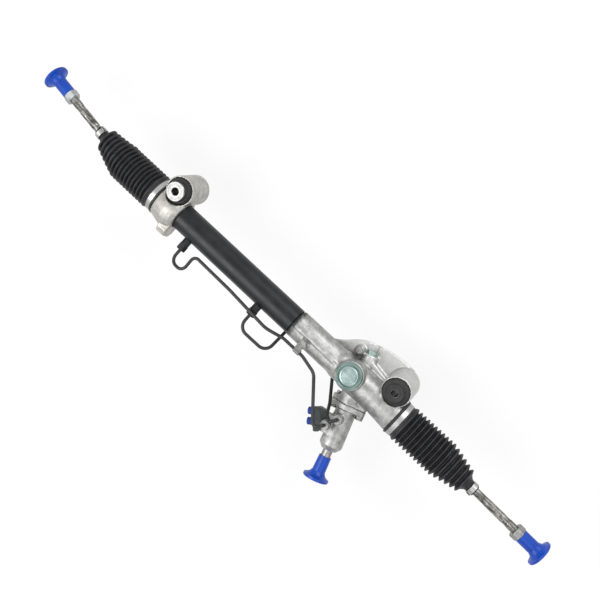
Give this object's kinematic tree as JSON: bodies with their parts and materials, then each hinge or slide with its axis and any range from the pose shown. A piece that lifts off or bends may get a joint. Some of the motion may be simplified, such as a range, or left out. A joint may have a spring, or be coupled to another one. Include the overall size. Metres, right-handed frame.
{
  "type": "steering rack",
  "caption": "Hydraulic rack-and-pinion steering gear with cast housings, power cylinder, bellows and tie rods.",
  "frame": {"origin": "centre of the gear-side mounting bush's bore, halfway through its boss", "axes": "+X along the rack from the cylinder's end to the gear's end; +Z along the rack guide, away from the pinion; +Y towards the mounting bosses, away from the steering input"},
  "size_m": [1.1074, 0.2412, 0.087],
  "materials": {
    "cast": "raw cast aluminium, satin",
    "cast_bright": "raw cast aluminium, brighter",
    "black_tube": "black paint, satin",
    "black_pipe": "black coated steel, satin",
    "union": "dark phosphated steel",
    "steel": "machined steel",
    "rod_steel": "oiled steel, rolled",
    "clamp": "polished stainless band",
    "zinc": "greenish zinc",
    "block": "dark grey",
    "rubber": "matte black",
    "bush_rubber": "dark grey",
    "seal": "black",
    "blue_cap": "translucent blue, glossy",
    "blue_plug": "dark blue, glossy",
    "bronze": "sintered bronze",
    "liner": "low-friction liner",
    "seat": "acetal"
  },
  "bodies": {
    "housing": {"gear_housing": "cast", "valve_housing": "cast", "valve_housing_bolts": "steel", "cylinder_tube": "black_tube", "union_bosses": "black_tube", "cylinder_union_nuts": "union", "valve_union_nuts": "union", "left_turn_pipe": "black_pipe", "right_turn_pipe": "black_pipe", "pipe_bracket": "steel", "bracket_bolt": "steel", "web_flange_bolt": "steel", "end_housing": "cast_bright", "end_stopper": "steel", "rack_bush": "bronze", "rack_seals": "seal", "ball_bearing": "steel", "needle_bearing": "steel", "upper_bearing": "steel", "pinion_seal": "seal", "input_seal": "seal", "pinion_end_plug": "zinc", "rack_guide": "cast", "guide_liner": "liner", "guide_spring": "steel", "guide_plug": "zinc", "guide_lock_ring": "zinc", "port_block": "block", "end_bush_rubber": "bush_rubber", "end_bush_sleeve": "steel", "gear_bush_rubber": "bush_rubber", "gear_bush_sleeve": "steel", "left_large_clamp": "clamp", "right_large_clamp": "clamp", "left_bellows": "rubber", "right_bellows": "rubber"},
    "rack": {"rack_bar": "steel", "piston": "steel", "piston_ring": "liner", "left_socket": "steel", "right_socket": "steel"},
    "pinion": {"pinion": "steel", "torsion_bar": "steel", "valve_sleeve": "steel", "sleeve_rings": "liner"},
    "input_shaft": {"input_shaft": "steel"},
    "input_shaft_cap": {"input_shaft_cap": "blue_cap"},
    "pressure_port_plug": {"pressure_port_plug": "blue_plug"},
    "return_port_plug": {"return_port_plug": "blue_plug"},
    "left_ball_seat": {"left_ball_seat": "seat"},
    "left_tie_rod": {"left_tie_rod": "rod_steel", "left_jam_nut": "steel", "left_small_clamp": "clamp"},
    "left_tie_rod_cap": {"left_tie_rod_cap": "blue_cap"},
    "right_ball_seat": {"right_ball_seat": "seat"},
    "right_tie_rod": {"right_tie_rod": "rod_steel", "right_jam_nut": "steel", "right_small_clamp": "clamp"},
    "right_tie_rod_cap": {"right_tie_rod_cap": "blue_cap"}
  },
  "joints": [
    {"name": "rack_slide", "type": "slide", "parent": "housing", "child": "rack", "axis": [1, 0, 0], "range_m": [-0.07, 0.07], "deforming": ["left_bellows", "right_bellows"]},
    {"name": "pinion_turn", "type": "hinge", "parent": "housing", "child": "pinion", "pos_m": [-0.054, -0.0375, -0.0162], "axis": [0.3065, -0.9519, 0], "range_deg": [-546, 546]},
    {"name": "valve_twist", "type": "hinge", "parent": "pinion", "child": "input_shaft", "pos_m": [-0.054, -0.0375, -0.0162], "axis": [0.3065, -0.9519, 0], "range_deg": [-4, 4], "stiffness_Nm_per_rad": 90},
    {"name": "input_cap_pull", "type": "slide", "parent": "input_shaft", "child": "input_shaft_cap", "axis": [0.3065, -0.9519, 0], "range_m": [0, 0.045]},
    {"name": "left_rod_yaw", "type": "hinge", "parent": "rack", "child": "left_ball_seat", "pos_m": [-0.577, -0.0375, 0], "axis": [0, 0, 1], "range_deg": [-12.3, 27.7]},
    {"name": "left_rod_pitch", "type": "hinge", "parent": "left_ball_seat", "child": "left_tie_rod", "pos_m": [-0.577, -0.0375, 0], "axis": [0.134, 0.991, 0], "range_deg": [-20, 20]},
    {"name": "left_cap_pull", "type": "slide", "parent": "left_tie_rod", "child": "left_tie_rod_cap", "axis": [-0.991, 0.134, 0], "range_m": [0, 0.05]},
    {"name": "right_rod_yaw", "type": "hinge", "parent": "rack", "child": "right_ball_seat", "pos_m": [0.131, -0.0375, 0], "axis": [0, 0, 1], "range_deg": [-18.3, 21.7]},
    {"name": "right_rod_pitch", "type": "hinge", "parent": "right_ball_seat", "child": "right_tie_rod", "pos_m": [0.131, -0.0375, 0], "axis": [-0.0297, -0.9996, 0], "range_deg": [-16, 24]},
    {"name": "right_cap_pull", "type": "slide", "parent": "right_tie_rod", "child": "right_tie_rod_cap", "axis": [0.9971, -0.0296, -0.0706], "range_m": [0, 0.05]},
    {"name": "pressure_port_plug_pull", "type": "slide", "parent": "housing", "child": "pressure_port_plug", "axis": [-0.7999, -0.6001, 0], "range_m": [0, 0.015]},
    {"name": "return_port_plug_pull", "type": "slide", "parent": "housing", "child": "return_port_plug", "axis": [-0.7999, -0.6001, 0], "range_m": [0, 0.015]}
  ],
  "couplings": [
    {"joint": "pinion_turn", "follows": "rack_slide", "rad_per_m": -136.05}
  ]
}
